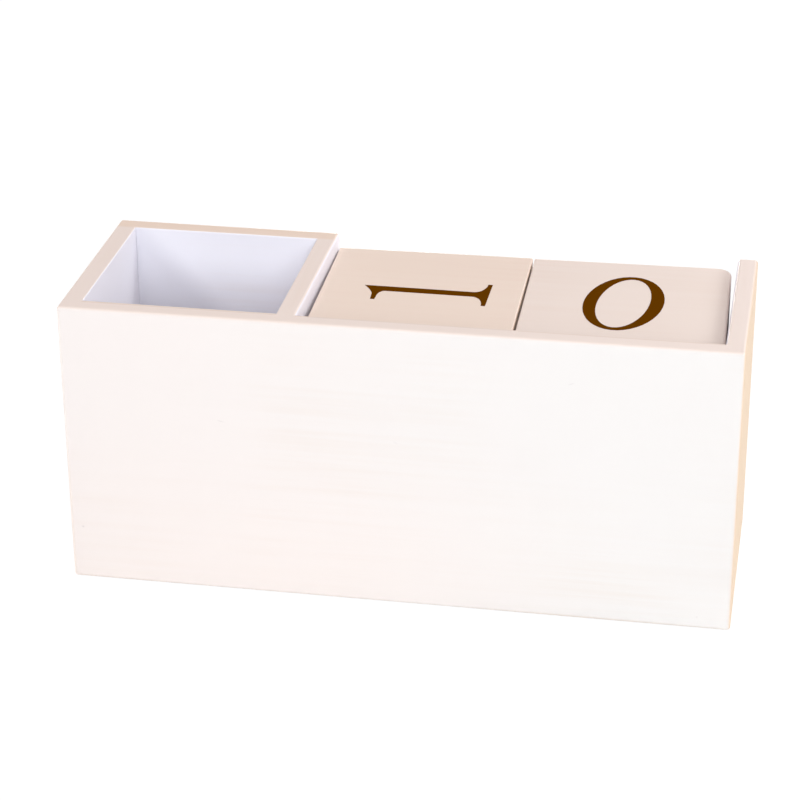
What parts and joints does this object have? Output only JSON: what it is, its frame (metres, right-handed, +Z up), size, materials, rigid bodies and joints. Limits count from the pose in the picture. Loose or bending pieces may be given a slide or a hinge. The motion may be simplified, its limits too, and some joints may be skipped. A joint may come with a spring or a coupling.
{
  "type": "desk calendar with drawer",
  "caption": "White painted wooden desk calendar with loose date cubes in an open bay, a square pen cup beside them and a shallow pull-out drawer underneath.",
  "frame": {"origin": "middle of the case's footprint, on the surface that it stands on", "axes": "+Z up, -Y to the front that the drawer and the bay open to, +X towards the pen cup"},
  "size_m": [0.2, 0.081, 0.09],
  "materials": {
    "white_paint": "satin paint",
    "cube_paint": "satin paint, numbers printed",
    "plywood": "bare, sanded",
    "knob_brass": "aged",
    "screw_steel": "zinc plated",
    "brad_steel": "painted over"
  },
  "bodies": {
    "case": {"back_panel": "white_paint", "cup_side_panel": "white_paint", "cup_front_panel": "white_paint", "divider_panel": "white_paint", "bay_side_panel": "white_paint", "base_panel": "white_paint", "shelf_panel": "white_paint", "back_brads": "brad_steel", "front_brads": "brad_steel", "side_brads": "brad_steel", "base_brads": "brad_steel"},
    "drawer": {"drawer_front": "white_paint", "drawer_left_wall": "white_paint", "drawer_right_wall": "white_paint", "drawer_back": "white_paint", "drawer_bottom": "plywood", "drawer_pins": "brad_steel", "drawer_knob": "knob_brass", "knob_screw": "screw_steel"},
    "tens": {"tens_cube": "cube_paint"},
    "units": {"units_cube": "cube_paint"}
  },
  "joints": [
    {"name": "drawer_slide", "type": "slide", "parent": "case", "child": "drawer", "axis": [0, -1, 0], "range_m": [0, 0.058]},
    {"name": "tens_lift", "type": "slide", "parent": "case", "child": "tens", "axis": [0, 0, 1], "range_m": [0, 0.066]},
    {"name": "units_lift", "type": "slide", "parent": "case", "child": "units", "axis": [0, 0, 1], "range_m": [0, 0.066]}
  ]
}
